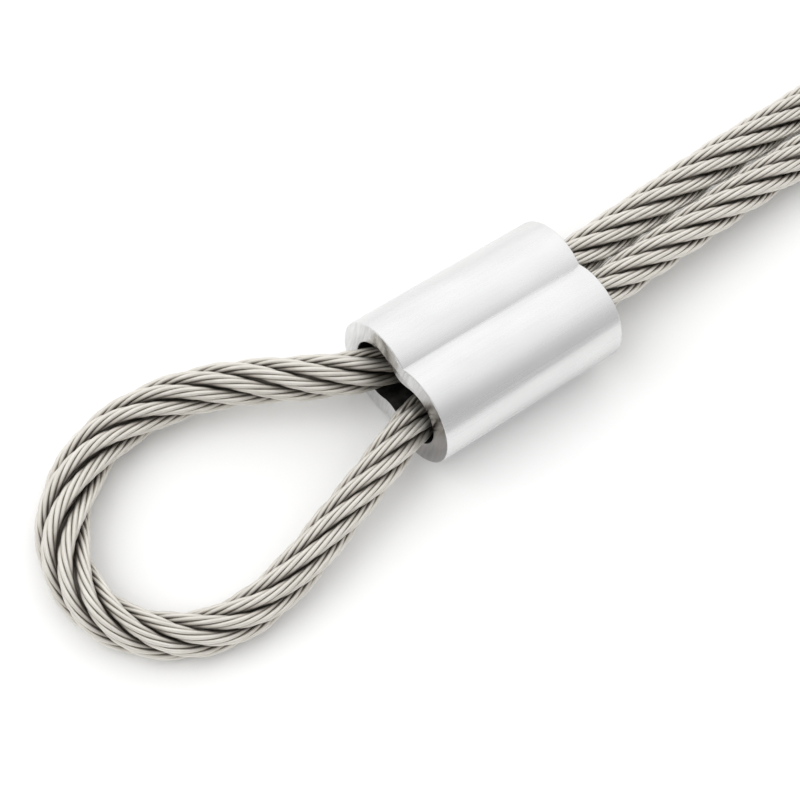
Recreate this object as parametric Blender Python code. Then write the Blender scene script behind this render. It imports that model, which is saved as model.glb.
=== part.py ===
"""Two-leg wire rope sling, made from one 6 mm stainless rope and three aluminium sleeves.

The rope lies on the ground plane, z = 0. Its middle is turned back into an eye, and both legs
pass side by side through a loose double-barrel sleeve that slides on them. Each leg ends in an
eye of its own, closed by a pressed sleeve with the trimmed rope end standing out of it.

Frame: +X runs from the middle eye to the end eyes, +Y is the left leg's side and +Z is up.
The origin is under the middle of the sling's box. Lengths are in metres.
"""

import math

import bmesh
import bpy
import numpy as np
from mathutils import Matrix, Vector

MM = 0.001

# Rope
ROPE_RADIUS = 3.0 * MM
ROPE_POINT_SPACING = 5.0 * MM
FACE_GAP = 0.3 * MM  # between two stretches of rope that meet face to face
END_STEP = 0.5 * MM  # from a flat end to the next point, so that the end stands square
LAID_HEIGHT = 3.2  # height in mm of the rope's centre where it lies on the ground

# Middle sleeve: two round barrels side by side, open to each other at the waist
BARREL_DIAMETER = 15.5 * MM
BARREL_SPACING = 7.9 * MM
MIDDLE_WALL = 3.4 * MM
MIDDLE_LENGTH = 32.2 * MM
BARREL_STEPS = 30  # points round a whole barrel

# End sleeves: pressed flat above and below, with one bore for the leg and one for the rope's end
PRESSED_WIDTH = 19.6 * MM
PRESSED_HEIGHT = 12.0 * MM
PRESSED_LENGTH = 32.0 * MM
PRESSED_BORE_RADIUS = 3.3 * MM
PRESSED_BORE_SPACING = 7.5 * MM
PRESSED_STEPS = 32  # points round a whole bore

RIM_BEVEL = 0.3 * MM

# Where the sleeves stand, in mm, and the side that each leg is on
MIDDLE_SLEEVE_AT = (-84.7, -5.55)
END_SLEEVE_AT = (89.5, 18.05)
LEFT, RIGHT = 1, -1

# The rope's route: points of its centreline in mm, chosen by hand. A smooth curve runs through them.
# The middle eye, from the left leg round to the right one, from the middle sleeve's centre.
MIDDLE_EYE = [
    (-15.8, 4.9, 7.1), (-20.3, 6.65, 6.95), (-25.8, 9.6, 6.5), (-31.3, 12.85, 5.9),
    (-36.8, 15.55, 5.1), (-42.3, 17.25, 4.4), (-47.85, 17.72, 3.9), (-53.44, 16.85, 3.6),
    (-58.57, 14.25, 3.6), (-62.78, 10.58, 3.6), (-65.65, 5.95, 3.6), (-66.83, 1.01, 3.6),
    (-66.28, -3.99, 3.6), (-63.79, -8.22, 3.4), (-60.09, -11.52, 3.4), (-55.39, -13.62, 3.4),
    (-50.0, -14.25, 3.5), (-44.5, -13.65, 4.1), (-38.8, -12.25, 4.9), (-32.7, -10.28, 5.5),
    (-25.66, -8.05, 6.2), (-20.14, -6.13, 6.6), (-15.64, -4.68, 6.75),
]
# Each leg, from inside the middle sleeve to its end sleeve, from the middle sleeve's centre.
LEFT_LEG = [
    (-10.8, 3.95, 7.1), (-3.8, 3.4, 7.1), (6.2, 3.35, 7.1), (16.2, 3.55, 7.1), (28.2, 4.21, 7.1),
    (40.2, 4.95, 7.1), (50.2, 5.57, 6.9), (61.2, 6.25, 5.9), (72.2, 6.95, 4.6), (84.2, 8.1, 3.5),
    (96.2, 10.4, LAID_HEIGHT), (108.2, 13.35, LAID_HEIGHT), (120.2, 16.25, 3.3),
    (132.2, 18.55, 4.2), (144.2, 19.65, 5.4), (158.2, 19.85, 6.0), (174.2, 19.85, 6.0),
    (184.2, 19.85, 6.0),
]
RIGHT_LEG = [
    (-10.8, -3.8, 6.95), (-3.8, -3.15, 7.1), (6.2, -3.05, 7.1), (16.2, -2.95, 7.1),
    (28.2, -2.3, 7.1), (40.2, -1.62, 7.1), (50.2, -1.07, 6.9), (61.2, -0.47, 5.9),
    (72.2, 0.05, 4.6), (84.2, 0.25, 3.5), (96.2, -0.8, LAID_HEIGHT), (108.2, -3.0, LAID_HEIGHT),
    (120.2, -5.45, 3.3), (132.2, -7.55, 4.2), (144.2, -8.6, 5.4), (158.2, -8.75, 6.0),
    (174.2, -8.75, 6.0), (184.2, -8.75, 6.0),
]
# An end eye, from the leg's mouth of its sleeve round to the rope's end, from the end sleeve's
# centre. y is positive on the side away from the other leg.
END_EYE = [
    (16.0, -3.75, 6.0), (20.5, -4.7, 5.85), (26.0, -7.0, 5.3), (32.0, -9.7, 4.5),
    (37.5, -11.7, 3.85), (43.0, -12.8, 3.35), (48.5, -13.0, LAID_HEIGHT),
    (53.0, -12.2, LAID_HEIGHT), (57.0, -9.9, LAID_HEIGHT), (60.3, -5.5, LAID_HEIGHT),
    (61.5, 0.0, LAID_HEIGHT), (60.3, 5.5, LAID_HEIGHT), (57.0, 9.9, LAID_HEIGHT),
    (53.0, 12.2, LAID_HEIGHT), (48.5, 13.0, LAID_HEIGHT), (43.0, 12.8, 3.35),
    (37.5, 11.7, 3.85), (32.0, 9.7, 4.5), (26.0, 7.0, 5.3), (20.5, 4.7, 5.85),
    (16.0, 3.75, 6.0), (5.0, 3.75, 6.0), (-6.0, 3.75, 6.0), (-16.0, 3.75, 6.0),
    (-22.0, 3.75, 6.0),
]

# Which of those points are joints or the ends of a stretch
EYE_HINGE_LEFT = MIDDLE_EYE.index((-25.8, 9.6, 6.5))
EYE_HINGE_RIGHT = MIDDLE_EYE.index((-25.66, -8.05, 6.2))
LEG_HINGE = LEFT_LEG.index((50.2, 5.57, 6.9))
EYE_SIDE_MOUTH = END_EYE.index((16.0, 3.75, 6.0))

# Finishes: base colour, metallic, roughness
STAINLESS = ((0.56, 0.54, 0.50, 1.0), 1.0, 0.34)
ALUMINIUM = ((0.80, 0.80, 0.81, 1.0), 1.0, 0.38)


def material(name, finish):
    colour, metallic, roughness = finish
    made = bpy.data.materials.new(name)
    made.use_nodes = True
    shader = made.node_tree.nodes["Principled BSDF"]
    shader.inputs["Base Color"].default_value = colour
    shader.inputs["Metallic"].default_value = metallic
    shader.inputs["Roughness"].default_value = roughness
    return made


def placed(points, centre, side=1):
    """Route points, given in mm from a sleeve's centre, as vectors in the sling's frame."""
    return [Vector((centre[0] + x, centre[1] + side * y, z)) * MM for x, y, z in points]


def whole_route():
    """The centreline's points from the left rope end to the right one, and the marks along it."""
    left_end = placed(END_EYE, END_SLEEVE_AT, LEFT)
    right_end = placed(END_EYE, (END_SLEEVE_AT[0], -END_SLEEVE_AT[1]), RIGHT)
    left_leg = placed(LEFT_LEG, MIDDLE_SLEEVE_AT)
    right_leg = placed(RIGHT_LEG, MIDDLE_SLEEVE_AT)
    eye = placed(MIDDLE_EYE, MIDDLE_SLEEVE_AT)
    points = left_end[::-1] + left_leg[::-1] + eye + right_leg + right_end
    eye_start = len(left_end) + len(left_leg)
    right_start = eye_start + len(eye)
    last = len(points) - 1
    marks = {
        "left_tip": 0,
        "left_dead_mouth": len(END_EYE) - 1 - EYE_SIDE_MOUTH,
        "left_live_mouth": len(END_EYE) - 1,
        "left_hinge": eye_start - 1 - LEG_HINGE,
        "eye_hinge_left": eye_start + EYE_HINGE_LEFT,
        "eye_hinge_right": eye_start + EYE_HINGE_RIGHT,
        "right_hinge": right_start + LEG_HINGE,
        "right_live_mouth": right_start + len(right_leg),
        "right_dead_mouth": right_start + len(right_leg) + EYE_SIDE_MOUTH,
        "right_tip": last,
    }
    return np.array(points), marks


class Route:
    """A natural cubic spline through the centreline's points, read by distance along it."""

    def __init__(self, points, samples_per_span=24):
        spans = np.linalg.norm(np.diff(points, axis=0), axis=1)
        knots = np.concatenate([[0.0], np.cumsum(spans)])
        bends = self.second_derivatives(points, knots)
        fine, at_knot = [points[0]], [0]
        for i, span in enumerate(spans):
            for step in range(1, samples_per_span + 1):
                b = step / samples_per_span
                a = 1.0 - b
                curve = (a**3 - a) * bends[i] + (b**3 - b) * bends[i + 1]
                fine.append(a * points[i] + b * points[i + 1] + curve * span**2 / 6.0)
            at_knot.append(len(fine) - 1)
        self.fine = np.array(fine)
        steps = np.linalg.norm(np.diff(self.fine, axis=0), axis=1)
        self.along = np.concatenate([[0.0], np.cumsum(steps)])
        self.mark_at = self.along[at_knot]

    @staticmethod
    def second_derivatives(points, knots):
        count = len(points)
        span = np.diff(knots)
        system = np.eye(count)
        right = np.zeros((count, 3))
        for i in range(1, count - 1):
            system[i, i - 1 : i + 2] = (span[i - 1], 2.0 * (span[i - 1] + span[i]), span[i])
            rise = (points[i + 1] - points[i]) / span[i]
            right[i] = 6.0 * (rise - (points[i] - points[i - 1]) / span[i - 1])
        return np.linalg.solve(system, right)

    def at(self, distance):
        return [float(np.interp(distance, self.along, self.fine[:, k])) for k in range(3)]


def round_nose():
    """Distance from the tip and share of the full radius, for points along a round rope end."""
    return [
        (ROPE_RADIUS * (1.0 - math.cos(angle)), math.sin(angle))
        for angle in (math.radians(degrees) for degrees in (18, 36, 54, 72, 90))
    ]


def rope_stretch(name, route, start, end, round_start=False, round_end=False):
    """A plain round length of rope between two distances along the route.

    A round end is a half ball that is centred on its mark, so it can turn there. A flat end stops
    a gap short of its mark, and one that faces a round end stops short of that ball as well.
    """
    stations = []
    if round_start:
        stations += [(start - ROPE_RADIUS + d, share) for d, share in round_nose()]
    else:
        stations += [(start, 1.0), (start + END_STEP, 1.0)]
    count = max(2, round((end - start) / ROPE_POINT_SPACING))
    stations += [(start + (end - start) * i / count, 1.0) for i in range(1, count)]
    if round_end:
        stations += [(end + ROPE_RADIUS - d, share) for d, share in reversed(round_nose())]
    else:
        stations += [(end - END_STEP, 1.0), (end, 1.0)]

    curve = bpy.data.curves.new(name, "CURVE")
    curve.dimensions = "3D"
    curve.bevel_depth = ROPE_RADIUS
    curve.bevel_resolution = 3
    curve.use_fill_caps = True
    spline = curve.splines.new("POLY")
    spline.points.add(len(stations) - 1)
    for point, (distance, share) in zip(spline.points, stations):
        point.co = (*route.at(distance), 1.0)
        point.radius = share
    return bpy.data.objects.new(name, curve)


def arc(centre, radius, start, end, steps):
    """Points of an arc, from angle start to angle end, both included."""
    return [
        (
            centre[0] + radius * math.cos(start + (end - start) * i / steps),
            centre[1] + radius * math.sin(start + (end - start) * i / steps),
        )
        for i in range(steps + 1)
    ]


def figure_eight(wall=0.0):
    """The outline of the two joined barrels, or of their bore at a wall's thickness inside it."""
    radius = BARREL_DIAMETER / 2
    half_spacing = BARREL_SPACING / 2
    waist = math.acos(half_spacing / radius)  # where the barrels meet, seen from a barrel's centre
    cusp = math.sqrt(radius**2 - half_spacing**2)
    steps = round(BARREL_STEPS * (2 * math.pi - 2 * waist) / (2 * math.pi))
    first, last = -math.pi + waist, math.pi - waist
    right = arc((half_spacing, 0.0), radius - wall, first, last, steps)
    left = arc((-half_spacing, 0.0), radius - wall, waist, 2 * math.pi - waist, steps)
    if wall == 0.0:
        return right + left[1:-1]
    turn = math.pi / 2 - waist
    low = arc((0.0, -cusp), wall, math.pi / 2 + turn, math.pi / 2 - turn, 4)
    high = arc((0.0, cusp), wall, -math.pi / 2 + turn, -math.pi / 2 - turn, 4)
    return right + high[1:-1] + left + low[1:-1]


def oblong():
    """The outline of a pressed sleeve: flat above and below, round at both sides."""
    radius = PRESSED_HEIGHT / 2
    reach = PRESSED_WIDTH / 2 - radius
    half = PRESSED_STEPS // 2
    right = arc((reach, 0.0), radius, -math.pi / 2, math.pi / 2, half)
    left = arc((-reach, 0.0), radius, math.pi / 2, 3 * math.pi / 2, half)
    return right + left


def extruded_sleeve(name, outlines, length, centre):
    """A sleeve along X with the given outlines, the first its outside and the others its bores."""
    curve = bpy.data.curves.new(name, "CURVE")
    curve.dimensions = "2D"
    curve.fill_mode = "BOTH"
    curve.extrude = length / 2 - RIM_BEVEL
    curve.bevel_depth = RIM_BEVEL
    curve.bevel_resolution = 1
    curve.offset = -RIM_BEVEL
    for outline in outlines:
        spline = curve.splines.new("POLY")
        spline.points.add(len(outline) - 1)
        for point, (across, up) in zip(spline.points, outline):
            point.co = (across, up, 0.0, 1.0)
        spline.use_cyclic_u = True
    flat = bpy.data.objects.new(name + "_outline", curve)
    bpy.context.scene.collection.objects.link(flat)
    bpy.context.view_layer.update()
    evaluated = flat.evaluated_get(bpy.context.evaluated_depsgraph_get())
    mesh = bpy.data.meshes.new_from_object(evaluated)
    bpy.data.objects.remove(flat)
    mesh.name = name
    shape = bmesh.new()
    shape.from_mesh(mesh)
    bmesh.ops.remove_doubles(shape, verts=shape.verts, dist=0.01 * MM)
    # the outline's across, up and thickness become the sling's Y, Z and X
    bmesh.ops.transform(
        shape,
        matrix=Matrix(((0, 0, 1, 0), (1, 0, 0, 0), (0, 1, 0, 0), (0, 0, 0, 1))),
        verts=shape.verts,
    )
    bmesh.ops.recalc_face_normals(shape, faces=shape.faces)
    shape.to_mesh(mesh)
    shape.free()
    mesh.shade_smooth()
    mesh.set_sharp_from_angle(angle=math.radians(35))
    sleeve = bpy.data.objects.new(name, mesh)
    sleeve.location = centre
    return sleeve


def middle_sleeve():
    x, y = MIDDLE_SLEEVE_AT
    outlines = [figure_eight(), figure_eight(MIDDLE_WALL)]
    centre = (x * MM, y * MM, BARREL_DIAMETER / 2)
    return extruded_sleeve("middle_sleeve", outlines, MIDDLE_LENGTH, centre)


def end_sleeve(name, side):
    bores = [
        arc((at, 0.0), PRESSED_BORE_RADIUS, 0.0, 2 * math.pi, PRESSED_STEPS)[:-1]
        for at in (-PRESSED_BORE_SPACING / 2, PRESSED_BORE_SPACING / 2)
    ]
    x, y = END_SLEEVE_AT
    centre = (x * MM, side * y * MM, PRESSED_HEIGHT / 2)
    return extruded_sleeve(name, [oblong(), *bores], PRESSED_LENGTH, centre)


def rope_pieces(route, marks):
    """Every stretch of the rope, as plain round lengths that meet face to face."""
    at = {name: float(route.mark_at[index]) for name, index in marks.items()}
    half_gap = FACE_GAP / 2
    clear = ROPE_RADIUS + FACE_GAP  # from a hinge's centre to the flat face that meets its ball
    return [
        rope_stretch("left_dead_end", route, at["left_tip"], at["left_dead_mouth"] - half_gap),
        rope_stretch(
            "left_end_eye",
            route,
            at["left_dead_mouth"] + half_gap,
            at["left_live_mouth"] - half_gap,
        ),
        rope_stretch(
            "left_leg",
            route,
            at["left_live_mouth"] + half_gap,
            at["left_hinge"],
            round_end=True,
        ),
        rope_stretch(
            "left_leg_root", route, at["left_hinge"] + clear, at["eye_hinge_left"] - clear
        ),
        rope_stretch(
            "middle_eye",
            route,
            at["eye_hinge_left"],
            at["eye_hinge_right"],
            round_start=True,
            round_end=True,
        ),
        rope_stretch(
            "right_leg_root", route, at["eye_hinge_right"] + clear, at["right_hinge"] - clear
        ),
        rope_stretch(
            "right_leg",
            route,
            at["right_hinge"],
            at["right_live_mouth"] - half_gap,
            round_start=True,
        ),
        rope_stretch(
            "right_end_eye",
            route,
            at["right_live_mouth"] + half_gap,
            at["right_dead_mouth"] - half_gap,
        ),
        rope_stretch("right_dead_end", route, at["right_dead_mouth"] + half_gap, at["right_tip"]),
    ]


def joint_axis(name, place, collection):
    """An empty that stands on a joint's axis and carries the pieces that move with it."""
    empty = bpy.data.objects.new(name, None)
    empty.empty_display_size = 8 * MM
    empty.location = place
    collection.objects.link(empty)
    return empty


def attach(pieces, empty):
    bpy.context.view_layer.update()
    for piece in pieces:
        piece.parent = empty
        piece.matrix_parent_inverse = empty.matrix_world.inverted()


def main():
    for old in list(bpy.data.objects):
        bpy.data.objects.remove(old, do_unlink=True)
    collection = bpy.data.collections.new("wire_rope_sling")
    bpy.context.scene.collection.children.link(collection)

    points, marks = whole_route()
    route = Route(points)
    ropes = rope_pieces(route, marks)
    sleeves = [
        middle_sleeve(),
        end_sleeve("left_end_sleeve", LEFT),
        end_sleeve("right_end_sleeve", RIGHT),
    ]
    for pieces, finish, kind in ((ropes, STAINLESS, "rope"), (sleeves, ALUMINIUM, "sleeve")):
        for piece in pieces:
            piece.data.materials.append(material(f"{piece.name}_{kind}", finish))
            collection.objects.link(piece)

    named = {piece.name: piece for piece in ropes + sleeves}
    hinges = {name: points[index] for name, index in marks.items()}
    eye_axis = (hinges["eye_hinge_left"] + hinges["eye_hinge_right"]) / 2
    slide_axis = named["middle_sleeve"].location.copy()
    for axis, place, carried in (
        ("sleeve_slide_axis", slide_axis, ["middle_sleeve"]),
        ("middle_eye_lift_axis", eye_axis, ["middle_eye"]),
        (
            "left_leg_spread_axis",
            hinges["left_hinge"],
            ["left_leg", "left_end_sleeve", "left_end_eye", "left_dead_end"],
        ),
        (
            "right_leg_spread_axis",
            hinges["right_hinge"],
            ["right_leg", "right_end_sleeve", "right_end_eye", "right_dead_end"],
        ),
    ):
        attach([named[name] for name in carried], joint_axis(axis, place, collection))


main()
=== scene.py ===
"""Looks of the two-leg wire rope sling: real wires, aluminium sleeves, floor, light and camera."""

import math

import bmesh
import bpy
import numpy as np
from mathutils import Matrix, Vector


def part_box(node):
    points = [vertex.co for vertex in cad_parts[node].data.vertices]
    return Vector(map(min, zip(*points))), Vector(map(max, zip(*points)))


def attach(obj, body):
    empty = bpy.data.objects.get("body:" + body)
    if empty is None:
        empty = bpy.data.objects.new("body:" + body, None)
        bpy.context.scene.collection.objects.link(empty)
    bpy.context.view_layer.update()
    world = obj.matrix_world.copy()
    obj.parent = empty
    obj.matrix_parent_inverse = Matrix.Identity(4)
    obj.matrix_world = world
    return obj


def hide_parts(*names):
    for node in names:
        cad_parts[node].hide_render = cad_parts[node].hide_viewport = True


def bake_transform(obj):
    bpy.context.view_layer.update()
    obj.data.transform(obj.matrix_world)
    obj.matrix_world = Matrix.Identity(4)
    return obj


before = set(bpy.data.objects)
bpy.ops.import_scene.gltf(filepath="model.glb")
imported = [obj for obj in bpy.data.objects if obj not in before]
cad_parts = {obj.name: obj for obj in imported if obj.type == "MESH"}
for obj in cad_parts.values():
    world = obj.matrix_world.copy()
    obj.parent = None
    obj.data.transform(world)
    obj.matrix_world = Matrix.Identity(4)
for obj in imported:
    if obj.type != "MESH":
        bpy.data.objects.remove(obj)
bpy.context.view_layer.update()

MM = 0.001

# ---------------------------------------------------------------- sizes

ROPE_RADIUS = 3.0  # mm, as declared
STRAND_SHARE = 0.3165  # a strand's radius, as a share of the rope's
WIRE_SHARE = 0.322  # a wire's radius, as a share of its strand's
STRAND_LAY = 40.0  # mm for one right-hand turn of the strands
WIRE_LAY = 12.5  # mm for one left-hand turn of the wires in a strand
STATION_STEP = 0.75  # mm between two rings of a wire
SEEN_SIDES = 8  # sides of a wire that shows
HIDDEN_SIDES = 5  # sides of a wire that shows only at a cut end
CUT_UNEVENNESS = 0.5  # mm between the longest and the shortest wire of a cut end

# The rope as it lies, by distance from its left end in mm: the radius over its strands, which open
# a little in the legs and at the eye's tip, and how many degrees the strands have turned on from an
# even lay. The turns from 270 to 312, 363 to 471 and 518 to 560 are the output of a program that
# fitted a curve to the strands in the photo. The other turns and the radii were chosen one by one.
RADIUS_ALONG = [
    (0, 3.0), (180, 3.0), (235, 3.18), (275, 3.27), (325, 3.22), (343, 3.14), (357, 3.1),
    (363, 3.2), (372, 3.3), (382, 3.34), (391, 3.42), (398, 3.55), (404, 3.7), (411, 3.68),
    (418, 3.4), (427, 3.2), (441, 3.14), (455, 3.02), (468, 2.92), (481, 2.95), (492, 3.1),
    (512, 3.22), (560, 3.28), (600, 3.18), (650, 3.0), (835, 3.0),
]
TURN_ALONG = [
    (0, 235), (150, 190), (210, 170), (238, 152), (250, 140), (260, 120), (270, 90.4),
    (276, 68.8), (282, 51.4), (288, 37.6), (294, 26.8), (300, 18.7), (306, 12.6), (312, 8.1),
    (363, -11.7), (369, -12.5), (375, -10.7), (381, -8.5), (387, -8.1), (393, -11.8),
    (399, -19.6), (405, -29.0), (411, -37.0), (417, -41.1), (423, -39.0), (429, -32.6),
    (435, -25.3), (441, -20.8), (447, -23.6), (453, -34.2), (459, -44.6), (465, -47.4),
    (471, -43.0), (518, -54.1), (524, -54.0), (530, -54.7), (536, -56.8), (542, -61.2),
    (548, -68.8), (554, -80.4), (560, -96.9), (570, -118), (582, -138), (600, -154),
    (640, -175), (690, -195), (835, -250),
]

# Middle sleeve: two round barrels side by side, open to each other at the waist
BARREL_DIAMETER = 15.5  # mm
BARREL_SPACING = 7.9
MIDDLE_WALL = 3.4
MIDDLE_LENGTH = 32.2
MIDDLE_RIM = 0.22
BORE_EASE = 0.22  # mm wider all round than the CAD's bore, so that the opened strands clear it
BARREL_STEPS = 120  # points round a whole barrel

# End sleeves, pressed on the rope in three bites of the tool
PRESSED_WIDTH = 19.6
PRESSED_HEIGHT = 12.0
PRESSED_LENGTH = 32.0
PRESSED_BORE_RADIUS = 3.04
PRESSED_BORE_SPACING = 7.5
PRESSED_RIM = 0.55
PRESSED_STEPS = 96  # points round the outside's two round halves
BITES = (-9.4, 0.0, 9.4)  # mm from the sleeve's middle
BITE_LENGTH = 7.6
BITE_SOFTNESS = 0.9
BITE_DEPTH = (0.42, 0.22)  # across and up
FLASH_HEIGHT = 0.38
FLASH_WIDTH = 0.55
RING_SPACING = 0.4  # mm between two rings of points along a sleeve
WELD = 0.005  # mm within which two points of a sleeve become one

# ---------------------------------------------------------------- the rope's route, as in the CAD

LAID_HEIGHT = 3.2  # mm
MIDDLE_SLEEVE_AT = (-84.7, -5.55)
END_SLEEVE_AT = (89.5, 18.05)
LEFT, RIGHT = 1, -1

MIDDLE_EYE = [
    (-15.8, 4.9, 7.1), (-20.3, 6.65, 6.95), (-25.8, 9.6, 6.5), (-31.3, 12.85, 5.9),
    (-36.8, 15.55, 5.1), (-42.3, 17.25, 4.4), (-47.85, 17.72, 3.9), (-53.44, 16.85, 3.6),
    (-58.57, 14.25, 3.6), (-62.78, 10.58, 3.6), (-65.65, 5.95, 3.6), (-66.83, 1.01, 3.6),
    (-66.28, -3.99, 3.6), (-63.79, -8.22, 3.4), (-60.09, -11.52, 3.4), (-55.39, -13.62, 3.4),
    (-50.0, -14.25, 3.5), (-44.5, -13.65, 4.1), (-38.8, -12.25, 4.9), (-32.7, -10.28, 5.5),
    (-25.66, -8.05, 6.2), (-20.14, -6.13, 6.6), (-15.64, -4.68, 6.75),
]
LEFT_LEG = [
    (-10.8, 3.95, 7.1), (-3.8, 3.4, 7.1), (6.2, 3.35, 7.1), (16.2, 3.55, 7.1), (28.2, 4.21, 7.1),
    (40.2, 4.95, 7.1), (50.2, 5.57, 6.9), (61.2, 6.25, 5.9), (72.2, 6.95, 4.6), (84.2, 8.1, 3.5),
    (96.2, 10.4, LAID_HEIGHT), (108.2, 13.35, LAID_HEIGHT), (120.2, 16.25, 3.3),
    (132.2, 18.55, 4.2), (144.2, 19.65, 5.4), (158.2, 19.85, 6.0), (174.2, 19.85, 6.0),
    (184.2, 19.85, 6.0),
]
RIGHT_LEG = [
    (-10.8, -3.8, 6.95), (-3.8, -3.15, 7.1), (6.2, -3.05, 7.1), (16.2, -2.95, 7.1),
    (28.2, -2.3, 7.1), (40.2, -1.62, 7.1), (50.2, -1.07, 6.9), (61.2, -0.47, 5.9),
    (72.2, 0.05, 4.6), (84.2, 0.25, 3.5), (96.2, -0.8, LAID_HEIGHT), (108.2, -3.0, LAID_HEIGHT),
    (120.2, -5.45, 3.3), (132.2, -7.55, 4.2), (144.2, -8.6, 5.4), (158.2, -8.75, 6.0),
    (174.2, -8.75, 6.0), (184.2, -8.75, 6.0),
]
END_EYE = [
    (16.0, -3.75, 6.0), (20.5, -4.7, 5.85), (26.0, -7.0, 5.3), (32.0, -9.7, 4.5),
    (37.5, -11.7, 3.85), (43.0, -12.8, 3.35), (48.5, -13.0, LAID_HEIGHT),
    (53.0, -12.2, LAID_HEIGHT), (57.0, -9.9, LAID_HEIGHT), (60.3, -5.5, LAID_HEIGHT),
    (61.5, 0.0, LAID_HEIGHT), (60.3, 5.5, LAID_HEIGHT), (57.0, 9.9, LAID_HEIGHT),
    (53.0, 12.2, LAID_HEIGHT), (48.5, 13.0, LAID_HEIGHT), (43.0, 12.8, 3.35),
    (37.5, 11.7, 3.85), (32.0, 9.7, 4.5), (26.0, 7.0, 5.3), (20.5, 4.7, 5.85),
    (16.0, 3.75, 6.0), (5.0, 3.75, 6.0), (-6.0, 3.75, 6.0), (-16.0, 3.75, 6.0),
    (-22.0, 3.75, 6.0),
]
SLEEVE_MIDDLE = 1  # in each leg's list, the point inside the middle sleeve where two pieces meet


def placed(points, centre, side=1):
    """Route points, given from a sleeve's centre, in the sling's frame, in mm."""
    return [(centre[0] + x, centre[1] + side * y, z) for x, y, z in points]


def whole_route():
    """The centreline's points from the left rope end to the right one, and the marks along it."""
    left_end = placed(END_EYE, END_SLEEVE_AT, LEFT)
    right_end = placed(END_EYE, (END_SLEEVE_AT[0], -END_SLEEVE_AT[1]), RIGHT)
    left_leg = placed(LEFT_LEG, MIDDLE_SLEEVE_AT)
    right_leg = placed(RIGHT_LEG, MIDDLE_SLEEVE_AT)
    eye = placed(MIDDLE_EYE, MIDDLE_SLEEVE_AT)
    points = left_end[::-1] + left_leg[::-1] + eye + right_leg + right_end
    eye_start = len(left_end) + len(left_leg)
    right_start = eye_start + len(eye)
    marks = {
        "left_tip": 0,
        "left_end_mouth": len(END_EYE) - 1,
        "left_middle": eye_start - 1 - SLEEVE_MIDDLE,
        "right_middle": right_start + SLEEVE_MIDDLE,
        "right_end_mouth": right_start + len(right_leg),
        "right_tip": len(points) - 1,
    }
    return np.array(points), marks


class Route:
    """A natural cubic spline through the centreline's points, read by distance along it."""

    def __init__(self, points, samples_per_span=24):
        spans = np.linalg.norm(np.diff(points, axis=0), axis=1)
        knots = np.concatenate([[0.0], np.cumsum(spans)])
        bends = self.second_derivatives(points, knots)
        fine, at_knot = [points[0]], [0]
        for i, span in enumerate(spans):
            for step in range(1, samples_per_span + 1):
                b = step / samples_per_span
                a = 1.0 - b
                curve = (a**3 - a) * bends[i] + (b**3 - b) * bends[i + 1]
                fine.append(a * points[i] + b * points[i + 1] + curve * span**2 / 6.0)
            at_knot.append(len(fine) - 1)
        self.fine = np.array(fine)
        steps = np.linalg.norm(np.diff(self.fine, axis=0), axis=1)
        self.along = np.concatenate([[0.0], np.cumsum(steps)])
        self.mark_at = self.along[at_knot]

    @staticmethod
    def second_derivatives(points, knots):
        count = len(points)
        span = np.diff(knots)
        system = np.eye(count)
        right = np.zeros((count, 3))
        for i in range(1, count - 1):
            system[i, i - 1 : i + 2] = (span[i - 1], 2.0 * (span[i - 1] + span[i]), span[i])
            rise = (points[i + 1] - points[i]) / span[i]
            right[i] = 6.0 * (rise - (points[i] - points[i - 1]) / span[i - 1])
        return np.linalg.solve(system, right)

    def at(self, distances):
        return np.stack([np.interp(distances, self.along, self.fine[:, k]) for k in range(3)], axis=1)


# ---------------------------------------------------------------- looks

SLEEVE_BRIGHTNESS = 0.74

# Painted shade on the wires by the middle sleeve's mouths, and painted shade on the -y side of its
# end faces
MOUTH_SHADE_TINT = (0.32, 0.305, 0.285, 1.0)  # what the painted shade leaves of a colour
MOUTH_SHADE_ON_CROWNS = 0.8  # how much of the painted shade stays on a wire's crown, and all of it in the grooves
MOUTH_SHADE_INSIDE = 0.2  # mm inside the middle sleeve's mouth, from where the painted shade on the wires is darkest
MOUTH_SHADE_OUTSIDE = (3.4, 0.9)  # mm outside it, where the painted shade on the left and the right leg's wires ends
FACE_SHADE_TINT = (0.58, 0.56, 0.55, 1.0)  # what the painted shade on the -y side of the middle sleeve's end faces leaves of a colour
MIDDLE_FACE_SHADED = (-0.0125, -0.0075)  # m: the y below which the face has full painted shade, and above which none
NO_FACE_SHADE = (-1.0, -0.9)  # m, past every sleeve, so the end sleeves' faces get no painted shade

# The room and the key light
BRIGHT_SIDE = (0.400, 0.600, 0.693)  # where the room is brightest
KEY_PLACE = (-1.06, 0.35, 1.07)  # m
KEY_AIM = (-0.05, 0.0, 0.0)
KEY_SIZE = 1.2  # m, each side
KEY_POWER = 9.4  # W
FLOOR_SIZE = 60.0  # m
FLOOR_WHITE = (0.92, 0.92, 0.915, 1.0)
# how bright the room is, by the cosine to its bright side
ROOM_GREYS = [
    (-1.0, 0.50), (-0.4, 0.50), (0.05, 0.53), (0.3, 0.66), (0.5, 0.82), (0.72, 0.93),
    (0.85, 0.97), (1.0, 1.04),
]
ROOM_STRENGTH = 1.27

# ---------------------------------------------------------------- camera

CAMERA_AIM = (-97.8, -4.6, 1.1)  # mm
CAMERA_AZIMUTH = -53.9  # degrees, 0 looks along +Y
CAMERA_ELEVATION = 60.2
CAMERA_ROLL = 18.8
CAMERA_DISTANCE = 259.2  # mm
CAMERA_LENS = 81.9


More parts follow.
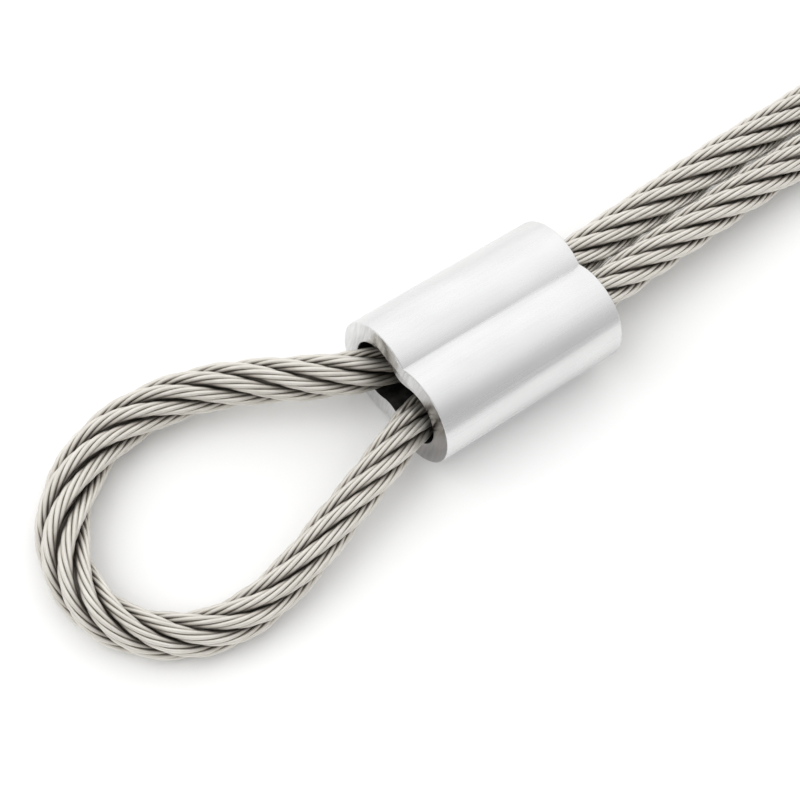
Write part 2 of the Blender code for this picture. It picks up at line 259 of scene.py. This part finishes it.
def make_camera():
    azimuth, elevation = math.radians(CAMERA_AZIMUTH), math.radians(CAMERA_ELEVATION)
    back = Vector(
        (
            math.sin(azimuth) * math.cos(elevation),
            -math.cos(azimuth) * math.cos(elevation),
            math.sin(elevation),
        )
    )
    level = Vector((math.cos(azimuth), math.sin(azimuth), 0.0))
    turn = Matrix((level, back.cross(level), back)).transposed()
    roll = Matrix.Rotation(math.radians(CAMERA_ROLL), 3, "Z")
    data = bpy.data.cameras.new("camera")
    data.lens = CAMERA_LENS
    data.clip_start = 0.01
    camera = bpy.data.objects.new("camera", data)
    camera.matrix_world = (turn @ roll).to_4x4()
    camera.location = (Vector(CAMERA_AIM) + back * CAMERA_DISTANCE) * MM
    bpy.context.scene.collection.objects.link(camera)
    bpy.context.scene.camera = camera


# ---------------------------------------------------------------- rope


def unit(vectors):
    return vectors / np.linalg.norm(vectors, axis=1)[:, None]


def turned(vector, axis, angle):
    """vector turned about a unit axis."""
    return (
        vector * math.cos(angle)
        + np.cross(axis, vector) * math.sin(angle)
        + axis * float(axis @ vector) * (1.0 - math.cos(angle))
    )


class RopeLine:
    """Stations along the whole rope with frames that don't twist, so its lay runs on unbroken."""

    def __init__(self, route):
        length = route.along[-1]
        self.distance = np.linspace(0.0, length, round(length / STATION_STEP) + 1)
        self.centre = route.at(self.distance)
        # a light smoothing takes the straight spans between the route's samples out
        for _ in range(4):
            self.centre[1:-1] = (
                0.25 * self.centre[:-2] + 0.5 * self.centre[1:-1] + 0.25 * self.centre[2:]
            )
        self.tangent = unit(np.gradient(self.centre, axis=0))
        side = np.cross(self.tangent[0], (0.0, 0.0, 1.0))
        sides = [side / np.linalg.norm(side)]
        for before, after in zip(self.tangent[:-1], self.tangent[1:]):
            axis = np.cross(before, after)
            size = np.linalg.norm(axis)
            side = sides[-1]
            if size > 1e-12:
                side = turned(side, axis / size, math.asin(min(1.0, size)))
            side = side - after * float(after @ side)
            sides.append(side / np.linalg.norm(side))
        self.side = np.array(sides)
        self.up = np.cross(self.tangent, self.side)
        self.radius = self.eased(RADIUS_ALONG)
        # where the rope opens, half of it is gaps between the strands
        self.packed = 0.5 * (self.radius + ROPE_RADIUS)
        self.turn = 2.0 * math.pi * self.distance / STRAND_LAY + np.radians(self.eased(TURN_ALONG))

    def eased(self, table):
        """A table of (distance, value) read at the stations, with its corners rounded."""
        marks, values = zip(*table)
        read = np.interp(self.distance, marks, values)
        window = np.hanning(11)
        padded = np.pad(read, 5, mode="edge")
        return np.convolve(padded, window / window.sum(), mode="valid")


def strand_frames(rope, index):
    """Centreline of an outer strand, and its outward and sideways directions at each station."""
    angle = rope.turn + 2.0 * math.pi * index / 6.0
    out = rope.side * np.cos(angle)[:, None] + rope.up * np.sin(angle)[:, None]
    centre = rope.centre + out * (rope.radius - rope.packed * STRAND_SHARE)[:, None]
    tangent = unit(np.gradient(centre, axis=0))
    out = unit(out - tangent * np.sum(out * tangent, axis=1)[:, None])
    return centre, out, np.cross(tangent, out)


def strand_wires(centre, out, across, radius, twist, phase, seen_sides):
    """(centreline, radius, sides) of a strand's king wire and of the six wires round it."""
    wire = radius * WIRE_SHARE
    wires = [(centre, radius - 2.0 * wire, HIDDEN_SIDES)]
    for number in range(6):
        angle = twist + phase + 2.0 * math.pi * number / 6.0
        spoke = out * np.cos(angle)[:, None] + across * np.sin(angle)[:, None]
        wires.append((centre + spoke * (radius - wire)[:, None], wire, seen_sides))
    return wires


def all_wires(rope):
    """(centreline, radius, sides) of each of the rope's 49 wires over its whole length."""
    wires = []
    twist = 2.0 * math.pi * rope.distance / WIRE_LAY
    for index in range(6):
        centre, out, across = strand_frames(rope, index)
        radius = rope.packed * STRAND_SHARE
        wires += strand_wires(centre, out, across, radius, -twist, 0.7 * index, SEEN_SIDES)
    core = rope.packed * (1.0 - 2.0 * STRAND_SHARE)
    wires += strand_wires(rope.centre, rope.side, rope.up, core, twist, 0.0, HIDDEN_SIDES)
    return wires


def wire_rings(line, radius, sides):
    """Ring points of a round wire along a line, without twist."""
    tangent = unit(np.gradient(line, axis=0))
    start = np.cross(tangent[0], (0.31, 0.17, 0.93))
    normal = [start / np.linalg.norm(start)]
    for t in tangent[1:]:
        n = normal[-1] - t * float(t @ normal[-1])
        normal.append(n / np.linalg.norm(n))
    normal = np.array(normal)
    binormal = np.cross(tangent, normal)
    angle = 2.0 * math.pi * np.arange(sides) / sides
    return line[:, None, :] + radius[:, None, None] * (
        normal[:, None, :] * np.cos(angle)[None, :, None]
        + binormal[:, None, :] * np.sin(angle)[None, :, None]
    )


def cut_end(rings, index, first):
    """Moves the end ring of a wire back a little, because a cut rope's wires aren't all as long."""
    share = math.sin(12.99 * (index + 1)) * 43758.5
    back = CUT_UNEVENNESS * (share - math.floor(share))
    end, next_in = (0, 1) if first else (-1, -2)
    step = rings[next_in].mean(axis=0) - rings[end].mean(axis=0)
    rings[end] += step * back / np.linalg.norm(step)


def rope_piece(name, rope, wires, start, end, material):
    """The wires of one stretch of the rope as a mesh of closed tubes, and the line they follow.

    Each point carries how deep it lies in the rope, and where it is along and around its wire, for
    the material to read.
    """
    # two stretches that meet share the ring of points nearest the place where they meet
    first, last = (int(np.argmin(np.abs(rope.distance - cut))) for cut in (start, end))
    inside = np.zeros(len(rope.distance), dtype=bool)
    inside[first : last + 1] = True
    distance = rope.distance[inside]
    centre = rope.centre[inside]
    points, faces, along, depth, number = [], [], [], [], []
    offset = 0
    for index, (line, radius, sides) in enumerate(wires):
        rings = wire_rings(line[inside], radius[inside], sides)
        count = len(rings)
        if inside[0]:
            cut_end(rings, index, True)
        if inside[-1]:
            cut_end(rings, index, False)
        flat = rings.reshape(-1, 3)
        points.append(flat)
        along.append(np.repeat(distance, sides))
        reach = np.linalg.norm(flat - np.repeat(centre, sides, axis=0), axis=1)
        depth.append(reach / np.repeat(rope.radius[inside], sides))
        number.append(np.full(len(flat), float(index)))
        here = np.arange(sides)
        after = (here + 1) % sides
        for ring in range(count - 1):
            low = offset + ring * sides
            high = low + sides
            faces.append(np.stack([low + here, low + after, high + after, high + here], axis=1))
        faces.append((offset + here[::-1]).tolist())
        faces.append((offset + (count - 1) * sides + here).tolist())
        offset += count * sides
    polygons = []
    for block in faces:
        if isinstance(block, list):
            polygons.append(block)
        else:
            polygons.extend(block.tolist())
    mesh = bpy.data.meshes.new(name)
    mesh.from_pydata((np.concatenate(points) * MM).tolist(), [], polygons)
    for label, values in (("along", along), ("depth", depth), ("wire", number)):
        attribute = mesh.attributes.new(label, "FLOAT", "POINT")
        attribute.data.foreach_set("value", np.concatenate(values).astype(np.float32))
    mesh.shade_smooth()
    mesh.set_sharp_from_angle(angle=math.radians(60))
    mesh.materials.append(material)
    piece = bpy.data.objects.new(name, mesh)
    bpy.context.scene.collection.objects.link(piece)
    return piece, [tuple(point) for point in centre * MM]


# ---------------------------------------------------------------- materials


def new_material(name):
    material = bpy.data.materials.new(name)
    material.use_nodes = True
    tree = material.node_tree
    return material, tree, tree.nodes["Principled BSDF"]


def node(tree, kind, inputs=(), **settings):
    made = tree.nodes.new(kind)
    for key, value in settings.items():
        setattr(made, key, value)
    for key, value in dict(inputs).items():
        if isinstance(value, bpy.types.NodeSocket):
            tree.links.new(value, made.inputs[key])
        else:
            made.inputs[key].default_value = value
    return made


def ramp(tree, factor, stops, interpolation="LINEAR"):
    made = tree.nodes.new("ShaderNodeValToRGB")
    made.color_ramp.interpolation = interpolation
    elements = made.color_ramp.elements
    while len(elements) < len(stops):
        elements.new(0.5)
    for element, (position, colour) in zip(elements, stops):
        element.position = position
        element.color = colour
    tree.links.new(factor, made.inputs["Fac"])
    return made.outputs["Color"]


def mouth_shade(tree, along, start, end, outside):
    """How much painted shade a wire gets: 1 where it lies under a sleeve, from start to end along the
    rope, and 0 clear of it.
    """
    middle, half = (start + end) / 2.0, (end - start) / 2.0
    off = node(tree, "ShaderNodeMath", {0: along, 1: middle}, operation="SUBTRACT").outputs[0]
    away = node(tree, "ShaderNodeMath", {0: off}, operation="ABSOLUTE").outputs[0]
    return node(
        tree,
        "ShaderNodeMapRange",
        {
            "Value": away,
            "From Min": half - MOUTH_SHADE_INSIDE,
            "From Max": half + outside,
            "To Min": 1.0,
            "To Max": 0.0,
        },
        interpolation_type="SMOOTHSTEP",
    ).outputs["Result"]


def wire_steel(covered):
    """Bright drawn stainless wires, darker in their grooves from painted shade with some grease, and
    with painted shade where the middle sleeve covers them and by its mouths.

    covered is the (start, end) along the rope of each stretch under the middle sleeve.
    """
    material, tree, shader = new_material("wire_steel")
    depth = node(tree, "ShaderNodeAttribute", attribute_name="depth").outputs["Fac"]
    along = node(tree, "ShaderNodeAttribute", attribute_name="along").outputs["Fac"]
    number = node(tree, "ShaderNodeAttribute", attribute_name="wire").outputs["Fac"]
    place = node(tree, "ShaderNodeCombineXYZ", {"X": along, "Y": number, "Z": depth}).outputs[0]
    stretched = node(
        tree, "ShaderNodeMapping", {"Vector": place, "Scale": (0.35, 7.3, 9.0)}
    ).outputs[0]
    drawn = node(
        tree, "ShaderNodeTexNoise", {"Vector": stretched, "Scale": 1.0, "Detail": 4.0}
    ).outputs["Fac"]
    groove = node(
        tree,
        "ShaderNodeMapRange",
        {"Value": depth, "From Min": 0.70, "From Max": 0.94, "To Min": 0.0, "To Max": 1.0},
    ).outputs["Result"]
    # darker towards the grooves between the wires: painted shade, with some grease
    steel = ramp(
        tree,
        groove,
        [
            (0.0, (0.30, 0.272, 0.24, 1)),
            (0.5, (0.62, 0.588, 0.54, 1)),
            (1.0, (0.82, 0.796, 0.745, 1)),
        ],
    )
    tone = ramp(tree, drawn, [(0.25, (0.78, 0.77, 0.75, 1)), (0.75, (1.0, 1.0, 1.0, 1))])
    colour = node(
        tree,
        "ShaderNodeMix",
        {"Factor": 1.0},
        data_type="RGBA",
        blend_type="MULTIPLY",
    )
    tree.links.new(steel, colour.inputs["A"])
    tree.links.new(tone, colour.inputs["B"])
    toned = colour.outputs["Result"]
    # the painted shade by the middle sleeve's mouths is lighter on the wires' crowns
    shade_kept = node(
        tree, "ShaderNodeMapRange", {"Value": groove, "To Min": 1.0, "To Max": MOUTH_SHADE_ON_CROWNS}
    ).outputs["Result"]
    # painted shade on the wires under the middle sleeve and past its mouths
    for (start, end), outside in zip(covered, MOUTH_SHADE_OUTSIDE):
        shade_share = mouth_shade(tree, along, start, end, outside)
        shade_share = node(tree, "ShaderNodeMath", {0: shade_share, 1: shade_kept}, operation="MULTIPLY").outputs[0]
        mix = node(tree, "ShaderNodeMix", {"Factor": shade_share}, data_type="RGBA", blend_type="MULTIPLY")
        tree.links.new(toned, mix.inputs["A"])
        mix.inputs["B"].default_value = MOUTH_SHADE_TINT
        toned = mix.outputs["Result"]
    tree.links.new(toned, shader.inputs["Base Color"])
    shader.inputs["Metallic"].default_value = 0.8
    rough = node(
        tree,
        "ShaderNodeMapRange",
        {"Value": drawn, "From Min": 0.3, "From Max": 0.7, "To Min": 0.42, "To Max": 0.56},
    ).outputs["Result"]
    tree.links.new(rough, shader.inputs["Roughness"])
    return material


def sleeve_aluminium(name, brightness):
    """Satin aluminium with fine lines along the extrusion."""
    material, tree, shader = new_material(name)
    place = node(tree, "ShaderNodeTexCoord").outputs["Object"]
    stretched = node(
        tree, "ShaderNodeMapping", {"Vector": place, "Scale": (25.0, 2200.0, 2200.0)}
    ).outputs[0]
    lines = node(
        tree, "ShaderNodeTexNoise", {"Vector": stretched, "Scale": 1.0, "Detail": 3.0}
    ).outputs["Fac"]
    cloud_place = node(
        tree, "ShaderNodeMapping", {"Vector": place, "Scale": (110.0, 260.0, 260.0)}
    ).outputs[0]
    cloud = node(
        tree, "ShaderNodeTexNoise", {"Vector": cloud_place, "Scale": 1.0, "Detail": 5.0}
    ).outputs["Fac"]
    low, high = (brightness * 0.94,) * 3 + (1,), (brightness, brightness, brightness, 1)
    tree.links.new(ramp(tree, cloud, [(0.3, low), (0.7, high)]), shader.inputs["Base Color"])
    shader.inputs["Metallic"].default_value = 1.0
    rough = node(
        tree,
        "ShaderNodeMapRange",
        {"Value": lines, "From Min": 0.3, "From Max": 0.7, "To Min": 0.22, "To Max": 0.30},
    ).outputs["Result"]
    tree.links.new(rough, shader.inputs["Roughness"])
    bump = node(
        tree, "ShaderNodeBump", {"Strength": 0.12, "Distance": 0.00004, "Height": lines}
    ).outputs["Normal"]
    tree.links.new(bump, shader.inputs["Normal"])
    return material


def sawn_aluminium(name, face_shade):
    """The duller face that a saw leaves at a sleeve's ends.

    The last argument gives two y values, in m: below the first the face has painted shade, above the
    second it has none.
    """
    material, tree, shader = new_material(name)
    place = node(tree, "ShaderNodeTexCoord").outputs["Object"]
    stretched = node(
        tree, "ShaderNodeMapping", {"Vector": place, "Scale": (300.0, 2600.0, 320.0)}
    ).outputs[0]
    marks = node(
        tree, "ShaderNodeTexNoise", {"Vector": stretched, "Scale": 1.0, "Detail": 4.0}
    ).outputs["Fac"]
    sawn = ramp(tree, marks, [(0.3, (0.66, 0.66, 0.665, 1)), (0.7, (0.83, 0.83, 0.835, 1))])
    # painted shade on the face, darker towards -y
    across = node(tree, "ShaderNodeSeparateXYZ", {"Vector": place}).outputs["Y"]
    toned = node(
        tree, "ShaderNodeMapRange", {"Value": across, "From Min": face_shade[0], "From Max": face_shade[1]}
    ).outputs["Result"]
    face_shading = ramp(tree, toned, [(0.0, FACE_SHADE_TINT), (1.0, (1.0, 1.0, 1.0, 1))])
    colour = node(tree, "ShaderNodeMix", {"Factor": 1.0}, data_type="RGBA", blend_type="MULTIPLY")
    tree.links.new(sawn, colour.inputs["A"])
    tree.links.new(face_shading, colour.inputs["B"])
    tree.links.new(colour.outputs["Result"], shader.inputs["Base Color"])
    shader.inputs["Metallic"].default_value = 1.0
    shader.inputs["Roughness"].default_value = 0.2
    bump = node(
        tree, "ShaderNodeBump", {"Strength": 0.35, "Distance": 0.00005, "Height": marks}
    ).outputs["Normal"]
    tree.links.new(bump, shader.inputs["Normal"])
    return material


def shaded_bore_aluminium():
    """The inside of a sleeve: near black and mottled, painted shade for the dark inside of the bore.
    """
    material, tree, shader = new_material("shaded_bore_aluminium")
    place = node(tree, "ShaderNodeTexCoord").outputs["Object"]
    shade_mottle = node(
        tree, "ShaderNodeTexNoise", {"Vector": place, "Scale": 900.0, "Detail": 3.0}
    ).outputs["Fac"]
    colour = ramp(tree, shade_mottle, [(0.35, (0.02, 0.019, 0.018, 1)), (0.7, (0.06, 0.058, 0.055, 1))])
    tree.links.new(colour, shader.inputs["Base Color"])
    shader.inputs["Metallic"].default_value = 0.8
    shader.inputs["Roughness"].default_value = 0.5
    return material


# ---------------------------------------------------------------- floor and light


def make_floor():
    bpy.ops.mesh.primitive_plane_add(size=FLOOR_SIZE, location=(0.0, 0.0, 0.0))
    floor = bpy.context.object
    floor.name = "floor"
    material, _, shader = new_material("floor_white")
    shader.inputs["Base Color"].default_value = FLOOR_WHITE
    shader.inputs["Roughness"].default_value = 0.9
    floor.data.materials.append(material)


def make_key():
    """A soft square light that lights only what is matt, since the metal already mirrors the room."""
    data = bpy.data.lights.new("key", "AREA")
    data.shape = "RECTANGLE"
    data.size = KEY_SIZE
    data.size_y = KEY_SIZE
    data.energy = KEY_POWER
    key = bpy.data.objects.new("key", data)
    key.location = KEY_PLACE
    towards = Vector(KEY_PLACE) - Vector(KEY_AIM)
    key.rotation_euler = towards.to_track_quat("Z", "Y").to_euler()
    key.visible_glossy = False
    bpy.context.scene.collection.objects.link(key)


def make_room():
    """A soft white room, brightest behind and above the sling and greyer in front of it."""
    world = bpy.data.worlds.new("studio")
    world.use_nodes = True
    tree = world.node_tree
    direction = node(tree, "ShaderNodeTexCoord").outputs["Generated"]
    towards = node(tree, "ShaderNodeVectorMath", {0: direction}, operation="DOT_PRODUCT")
    towards.inputs[1].default_value = BRIGHT_SIDE
    half = node(
        tree,
        "ShaderNodeMapRange",
        {"Value": towards.outputs["Value"], "From Min": -1.0, "From Max": 1.0},
    ).outputs["Result"]
    stops = [((1.0 + cosine) / 2.0, (grey, grey, grey, 1)) for cosine, grey in ROOM_GREYS]
    glow = ramp(tree, half, stops)
    tree.links.new(glow, tree.nodes["Background"].inputs["Color"])
    tree.nodes["Background"].inputs["Strength"].default_value = ROOM_STRENGTH
    bpy.context.scene.world = world
    bpy.context.scene.view_settings.view_transform = "Standard"


# ---------------------------------------------------------------- the sling


def make_ropes():
    points, marks = whole_route()
    route = Route(points)
    at = {name: float(route.mark_at[index]) for name, index in marks.items()}
    rope = RopeLine(route)
    wires = all_wires(rope)
    # the middle sleeve's mouths, by distance along the rope
    eye_side = -MIDDLE_LENGTH / 2 - placed(LEFT_LEG, (0.0, 0.0))[SLEEVE_MIDDLE][0]
    leg_side = MIDDLE_LENGTH + eye_side
    covered = [
        (at["left_middle"] - leg_side, at["left_middle"] - eye_side),
        (at["right_middle"] + eye_side, at["right_middle"] + leg_side),
    ]
    steel = wire_steel(covered)

    def stretch(name, start, end):
        return rope_piece(name, rope, wires, start, end, steel)

    def declare(replaced):
        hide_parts(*replaced)

    eye, path = stretch("middle_eye_wires", at["left_middle"], at["right_middle"])
    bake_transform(eye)
    declare(["middle_eye"])

    for side in ("left", "right"):
        body = f"{side}_leg"
        bounds = sorted((at[f"{side}_end_mouth"], at[f"{side}_middle"]))
        leg, path = stretch(f"{side}_leg_wires", *bounds)
        if side == "left":
            path = path[::-1]
        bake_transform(leg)
        declare([f"{side}_leg", f"{side}_leg_root"])

        bounds = sorted((at[f"{side}_tip"], at[f"{side}_end_mouth"]))
        end_eye, path = stretch(f"{side}_end_eye_wires", *bounds)
        if side == "left":
            path = path[::-1]
        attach(end_eye, body)
        declare([f"{side}_end_eye", f"{side}_dead_end"])


def arc(centre, radius, start, end, steps):
    """Points of an arc, from angle start to angle end, both included."""
    return [
        (
            centre[0] + radius * math.cos(start + (end - start) * i / steps),
            centre[1] + radius * math.sin(start + (end - start) * i / steps),
        )
        for i in range(steps + 1)
    ]


def figure_eight(wall=0.0):
    """The outline of the two joined barrels, or of their bore at a wall's thickness inside it."""
    radius = BARREL_DIAMETER / 2
    half_spacing = BARREL_SPACING / 2
    waist = math.acos(half_spacing / radius)
    cusp = math.sqrt(radius**2 - half_spacing**2)
    steps = round(BARREL_STEPS * (2 * math.pi - 2 * waist) / (2 * math.pi))
    first, last = -math.pi + waist, math.pi - waist
    right = arc((half_spacing, 0.0), radius - wall, first, last, steps)
    left = arc((-half_spacing, 0.0), radius - wall, waist, 2 * math.pi - waist, steps)
    if wall == 0.0:
        return right + left[1:-1]
    turn = math.pi / 2 - waist
    low = arc((0.0, -cusp), wall, math.pi / 2 + turn, math.pi / 2 - turn, 12)
    high = arc((0.0, cusp), wall, -math.pi / 2 + turn, -math.pi / 2 - turn, 12)
    return right + high[1:-1] + left + low[1:-1]


def oblong():
    """The outline of a pressed sleeve: flat above and below, round at both sides."""
    radius = PRESSED_HEIGHT / 2
    reach = PRESSED_WIDTH / 2 - radius
    right = arc((reach, 0.0), radius, -math.pi / 2, math.pi / 2, PRESSED_STEPS // 2)
    left = arc((-reach, 0.0), radius, math.pi / 2, 3 * math.pi / 2, PRESSED_STEPS // 2)
    return right + left


def extruded(name, outlines, length, rim):
    """A sleeve along X with the given outlines, the first its outside and the others its bores."""
    curve = bpy.data.curves.new(name, "CURVE")
    curve.dimensions = "2D"
    curve.fill_mode = "BOTH"
    curve.extrude = length / 2 - rim
    curve.bevel_depth = rim
    curve.bevel_resolution = 2
    curve.offset = -rim
    for outline in outlines:
        spline = curve.splines.new("POLY")
        spline.points.add(len(outline) - 1)
        for point, (across, up) in zip(spline.points, outline):
            point.co = (across, up, 0.0, 1.0)
        spline.use_cyclic_u = True
    flat = bpy.data.objects.new(name + "_outline", curve)
    bpy.context.scene.collection.objects.link(flat)
    bpy.context.view_layer.update()
    evaluated = flat.evaluated_get(bpy.context.evaluated_depsgraph_get())
    mesh = bpy.data.meshes.new_from_object(evaluated)
    bpy.data.objects.remove(flat)
    mesh.name = name
    shape = bmesh.new()
    shape.from_mesh(mesh)
    bmesh.ops.remove_doubles(shape, verts=shape.verts, dist=WELD)
    # the outline's across, up and thickness become the sling's Y, Z and X
    turn = Matrix(((0, 0, 1, 0), (1, 0, 0, 0), (0, 1, 0, 0), (0, 0, 0, 1)))
    bmesh.ops.transform(shape, matrix=turn, verts=shape.verts)
    bmesh.ops.recalc_face_normals(shape, faces=shape.faces)
    return mesh, shape


def ringed(shape):
    """Rings of points along the straight sides of a sleeve."""
    long = [e for e in shape.edges if abs(e.verts[0].co.x - e.verts[1].co.x) > 5.0]
    cuts = round(abs(long[0].verts[0].co.x - long[0].verts[1].co.x) / RING_SPACING) - 1
    bmesh.ops.subdivide_edges(shape, edges=long, cuts=cuts, use_grid_fill=True)


def bitten(x):
    """How far the tool has gone in at x: 0 between its bites, 1 in the middle of one."""
    depth = 0.0
    for middle in BITES:
        inside = (BITE_LENGTH / 2 - abs(x - middle)) / BITE_SOFTNESS + 0.5
        inside = min(1.0, max(0.0, inside))
        depth = max(depth, inside * inside * (3.0 - 2.0 * inside))
    return depth


def press(shape):
    """Presses the outside of an end sleeve: the tool's bites, and the flash at its parting line."""
    for vert in shape.verts:
        x, y, z = vert.co
        from_bore = math.hypot(abs(y) - PRESSED_BORE_SPACING / 2, z) - PRESSED_BORE_RADIUS
        if from_bore < PRESSED_RIM + 0.1:
            continue
        depth = bitten(x)
        vert.co.y -= math.copysign(BITE_DEPTH[0] * depth * min(1.0, abs(y) / 4.0), y)
        vert.co.z -= math.copysign(BITE_DEPTH[1] * depth, z) if abs(z) > 0.5 else 0.0
        ridge = max(0.0, 1.0 - (z / FLASH_WIDTH) ** 2)
        if abs(y) > PRESSED_WIDTH / 2 - 1.0:
            vert.co.y += math.copysign(FLASH_HEIGHT * ridge * (0.35 + 0.65 * depth), y)


def faces_in(face, centre, bores):
    """Whether a face of a sleeve looks at the middle of the bore beside it."""
    across = face.center.y - centre[1]
    spoke = Vector((0.0, across - math.copysign(bores, across), face.center.z - centre[2]))
    return face.normal.dot(spoke) < 0.0


def sleeve(name, mesh, shape, centre, bores, materials):
    """A sleeve's object, with its outside, ends and bores in the three materials in that order."""
    shape.to_mesh(mesh)
    shape.free()
    mesh.transform(Matrix.Translation(centre) @ Matrix.Scale(MM, 4))
    mesh.shade_smooth()
    mesh.set_sharp_from_angle(angle=math.radians(30))
    for material in materials:
        mesh.materials.append(material)
    for face in mesh.polygons:
        if abs(face.normal.x) > 0.95:
            face.material_index = 1
        elif faces_in(face, centre, bores):
            face.material_index = 2
    piece = bpy.data.objects.new(name, mesh)
    bpy.context.scene.collection.objects.link(piece)
    return piece


def make_sleeves():
    drawn = sleeve_aluminium("sleeve_aluminium", SLEEVE_BRIGHTNESS)
    # near black bores: painted shade inside the sleeves
    bore_shade = shaded_bore_aluminium()
    sawn = sawn_aluminium("sawn_aluminium", NO_FACE_SHADE)
    # the middle sleeve's end faces get painted shade towards -y
    face_shade = sawn_aluminium("shaded_sawn_aluminium", MIDDLE_FACE_SHADED)

    low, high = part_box("middle_sleeve")
    bore = figure_eight(MIDDLE_WALL - BORE_EASE)
    mesh, shape = extruded("sleeve_middle", [figure_eight(), bore], MIDDLE_LENGTH, MIDDLE_RIM)
    centre, spread = (low + high) / 2, BARREL_SPACING / 2 * MM
    piece = sleeve("sleeve_middle", mesh, shape, centre, spread, [drawn, face_shade, bore_shade])
    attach(piece, "middle_sleeve")
    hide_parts("middle_sleeve")

    bores = [
        arc((at, 0.0), PRESSED_BORE_RADIUS, 0.0, 2 * math.pi, 48)[:-1]
        for at in (-PRESSED_BORE_SPACING / 2, PRESSED_BORE_SPACING / 2)
    ]
    for side in ("left", "right"):
        name = f"sleeve_{side}_end"
        low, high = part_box(f"{side}_end_sleeve")
        mesh, shape = extruded(name, [oblong(), *bores], PRESSED_LENGTH, PRESSED_RIM)
        ringed(shape)
        press(shape)
        centre, spread = (low + high) / 2, PRESSED_BORE_SPACING / 2 * MM
        piece = sleeve(name, mesh, shape, centre, spread, [drawn, sawn, bore_shade])
        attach(piece, f"{side}_leg")
        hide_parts(f"{side}_end_sleeve")


make_camera()
make_ropes()
make_sleeves()
make_floor()
make_room()
make_key()
